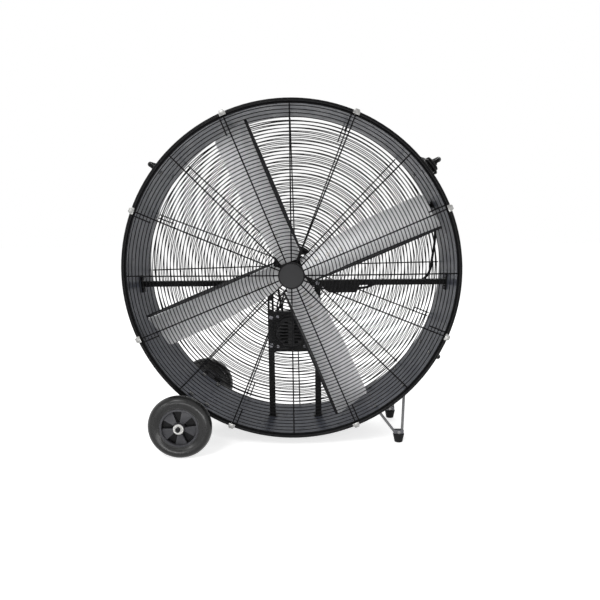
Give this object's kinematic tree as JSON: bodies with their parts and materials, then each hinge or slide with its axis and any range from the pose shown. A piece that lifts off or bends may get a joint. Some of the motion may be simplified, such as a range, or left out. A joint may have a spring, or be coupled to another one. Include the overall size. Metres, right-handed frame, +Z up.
{
  "type": "drum fan",
  "caption": "Belt driven drum fan on two wheels and two rubber feet, with wire guards, carrying handles and a wound power cord",
  "frame": {"origin": "on the floor, straight below the middle of the drum's axis", "axes": "+Z up, -Y out of the front guard along the drum's axis, +X to the right seen from the front"},
  "size_m": [1.12, 0.584, 1.1488],
  "materials": {
    "drum_paint": "satin black enamel",
    "guard_paint": "satin black coated wire",
    "frame_paint": "semi gloss black enamel",
    "motor_paint": "black enamel",
    "blade_metal": "pale coated sheet",
    "zinc": "zinc plated",
    "steel": "bare steel",
    "iron": "painted casting",
    "plate_grey": "matt grey, bare",
    "cap_plastic": "black moulding",
    "tyre_rubber": "smooth satin rubber",
    "hub_plastic": "black moulding",
    "foot_rubber": "matt",
    "grip_rubber": "matt",
    "belt_rubber": "matt",
    "cord_jacket": "satin jacket",
    "box_plastic": "black moulding",
    "knob_plastic": "black moulding"
  },
  "bodies": {
    "drum_frame": {"drum_shell": "drum_paint", "front_guard_rings": "guard_paint", "front_guard_spokes": "guard_paint", "rear_guard_rings": "guard_paint", "rear_guard_spokes": "guard_paint", "front_cap": "cap_plastic", "rear_cap": "cap_plastic", "badge_plate": "plate_grey", "guard_clips": "zinc", "small_screws": "zinc", "drive_belt": "belt_rubber", "cross_beam": "frame_paint", "bearing_saddle": "frame_paint", "front_bearing": "iron", "rear_bearing": "iron", "left_upright": "frame_paint", "right_upright": "frame_paint", "motor_plate": "frame_paint", "frame_bolts": "zinc", "motor_front_bell": "motor_paint", "motor_body": "motor_paint", "motor_rear_bell": "motor_paint", "wire_box": "box_plastic", "cable_clips": "cap_plastic", "cable_gland": "box_plastic", "inner_cable": "cord_jacket", "motor_leads": "cord_jacket", "switch_box": "box_plastic", "switch_lid": "box_plastic", "left_handle": "frame_paint", "right_handle": "frame_paint", "lower_handle": "frame_paint", "handle_grips": "grip_rubber", "wall_bolts": "zinc", "strain_relief": "cord_jacket", "cord_lead": "cord_jacket", "cord_winding": "cord_jacket", "cord_tail": "cord_jacket", "plug": "cord_jacket", "wheel_axle": "steel", "axle_brackets": "frame_paint", "axle_washers": "zinc", "leg_rods": "frame_paint", "leg_brackets": "zinc", "rubber_feet": "foot_rubber"},
    "fan_rotor": {"hub_spider": "frame_paint", "blade_1": "blade_metal", "blade_2": "blade_metal", "blade_3": "blade_metal", "blade_4": "blade_metal", "blade_bolts": "zinc", "fan_shaft": "steel", "fan_pulley": "iron"},
    "motor_rotor": {"motor_shaft": "steel", "motor_pulley": "iron"},
    "front_wheel": {"front_tyre": "tyre_rubber", "front_wheel_hub": "hub_plastic"},
    "rear_wheel": {"rear_tyre": "tyre_rubber", "rear_wheel_hub": "hub_plastic"},
    "switch_dial": {"switch_knob": "knob_plastic"}
  },
  "joints": [
    {"name": "fan_spin", "type": "hinge", "parent": "drum_frame", "child": "fan_rotor", "pos_m": [0, 0, 0.589], "axis": [0, 1, 0], "continuous": true},
    {"name": "motor_spin", "type": "hinge", "parent": "drum_frame", "child": "motor_rotor", "pos_m": [-0.012, 0, 0.366], "axis": [0, 1, 0], "continuous": true},
    {"name": "front_wheel_spin", "type": "hinge", "parent": "drum_frame", "child": "front_wheel", "pos_m": [-0.368, -0.256, 0.105], "axis": [0, 1, 0], "continuous": true},
    {"name": "rear_wheel_spin", "type": "hinge", "parent": "drum_frame", "child": "rear_wheel", "pos_m": [-0.368, 0.256, 0.105], "axis": [0, 1, 0], "continuous": true},
    {"name": "switch_turn", "type": "hinge", "parent": "drum_frame", "child": "switch_dial", "pos_m": [0.5443, 0.075, 0.81668], "axis": [0.9225, 0, 0.3859], "range_deg": [-120, 0]}
  ],
  "couplings": [
    {"joint": "motor_spin", "follows": "fan_spin", "ratio": 2.6842}
  ]
}
